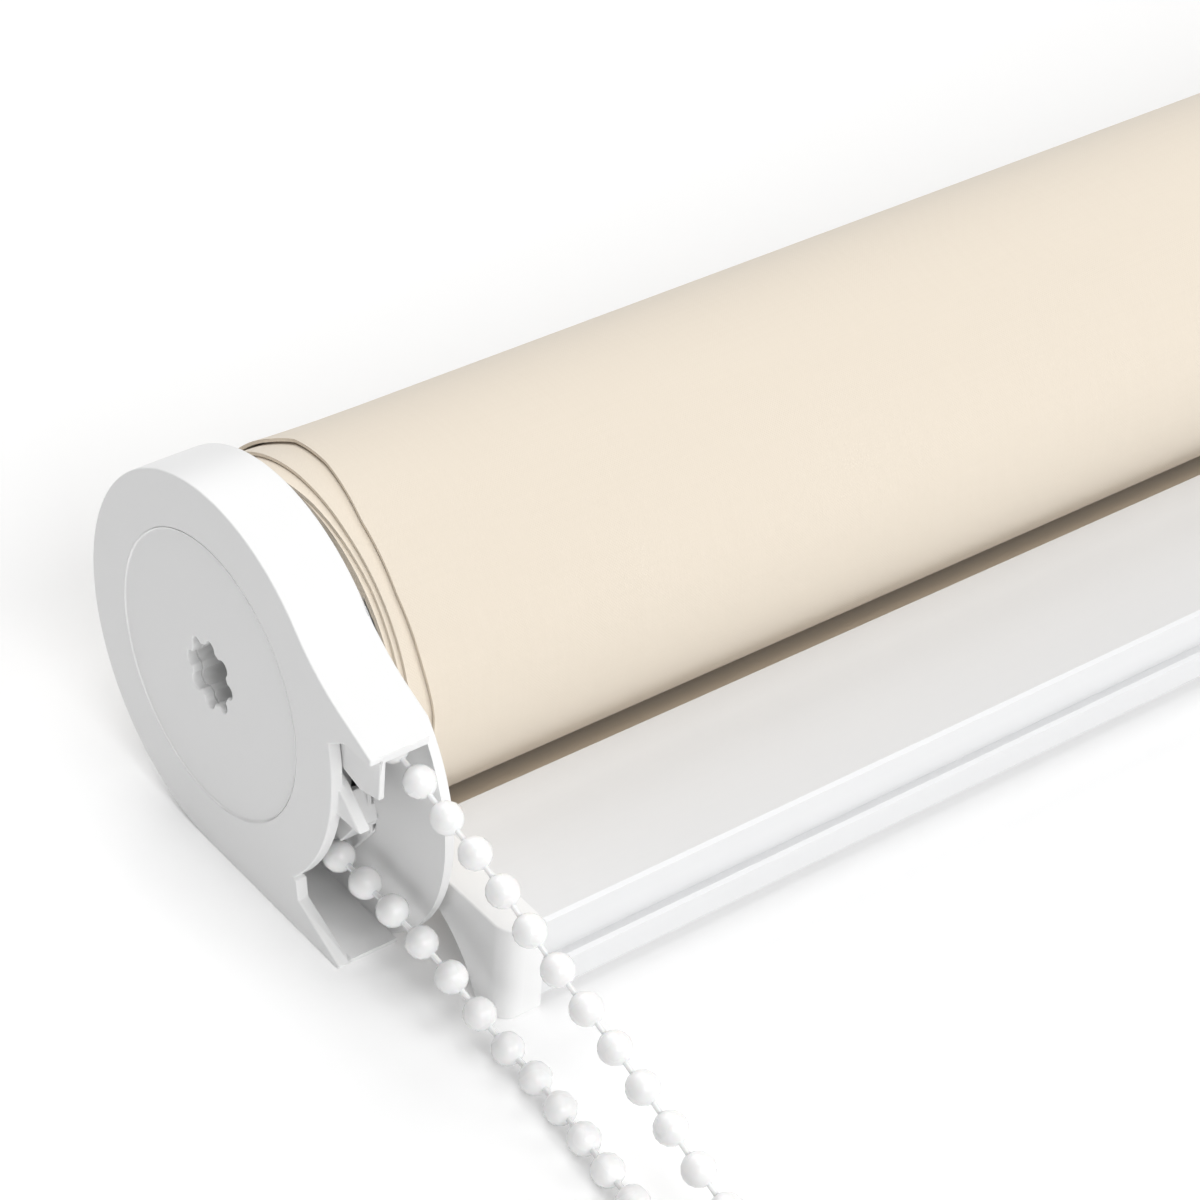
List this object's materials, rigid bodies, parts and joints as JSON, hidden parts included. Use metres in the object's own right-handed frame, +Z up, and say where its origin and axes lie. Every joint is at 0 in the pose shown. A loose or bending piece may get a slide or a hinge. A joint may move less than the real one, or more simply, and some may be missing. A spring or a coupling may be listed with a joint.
{
  "type": "roller blind",
  "caption": "Roller blind rolled right up: cloth on a tube, round bead-chain clutch case at one end, sprung pin at the other, ridged bottom rail and a coiled bead chain.",
  "frame": {"origin": "centre of the splined socket on the roller's axis, in the outer face of the chain case", "axes": "+X along the roller from the chain case to the idle end, -Y towards the chain mouth and the bottom rail, +Z up"},
  "size_m": [0.6586, 0.2004, 0.0572],
  "materials": {
    "satin_white_plastic": "satin",
    "grey_plastic": "satin",
    "bright_steel": "satin",
    "spring_steel": "satin",
    "mill_aluminium": "satin",
    "white_lacquered_aluminium": "gloss",
    "cream_cloth": "matte",
    "clear_tape": "gloss",
    "white_bead_plastic": "gloss"
  },
  "bodies": {
    "chain_case": {"housing_cover": "satin_white_plastic", "guard_plate": "satin_white_plastic", "cover_screws": "bright_steel", "spindle": "grey_plastic", "chain_guide": "satin_white_plastic", "spindle_washer": "bright_steel", "spindle_screw": "bright_steel", "chain_on_wheel": "white_bead_plastic", "chain_upper_strand": "white_bead_plastic", "chain_lower_strand": "white_bead_plastic", "chain_coil": "white_bead_plastic", "chain_connector": "white_bead_plastic"},
    "roller": {"sprocket": "satin_white_plastic", "wrap_spring_inner": "spring_steel", "wrap_spring_outer": "spring_steel", "drive_crown": "grey_plastic", "roller_tube": "mill_aluminium", "adhesive_strip": "clear_tape", "cloth_roll": "cream_cloth", "idle_plug": "grey_plastic", "plunger_cap": "grey_plastic", "idle_spring": "spring_steel"},
    "pin": {"idle_pin": "bright_steel"},
    "rail": {"bottom_rail": "white_lacquered_aluminium", "cloth_spline": "grey_plastic", "rail_cap_left": "satin_white_plastic", "rail_cap_right": "satin_white_plastic", "cloth_tail": "cream_cloth"}
  },
  "joints": [
    {"name": "roller_turn", "type": "hinge", "parent": "chain_case", "child": "roller", "pos_m": [0, 0, 0], "axis": [-1, 0, 0], "range_deg": [0, 3600]},
    {"name": "rail_drop", "type": "slide", "parent": "chain_case", "child": "rail", "axis": [0, -1, 0], "range_m": [0, 1.48], "deforming": ["cloth_tail"]},
    {"name": "pin_press", "type": "slide", "parent": "roller", "child": "pin", "axis": [-1, 0, 0], "range_m": [0, 0.006], "stiffness_N_per_m": 800, "springref_m": -0.005, "deforming": ["idle_spring"]}
  ],
  "couplings": [
    {"joint": "rail_drop", "follows": "roller_turn", "m_per_rad": 0.0235}
  ]
}
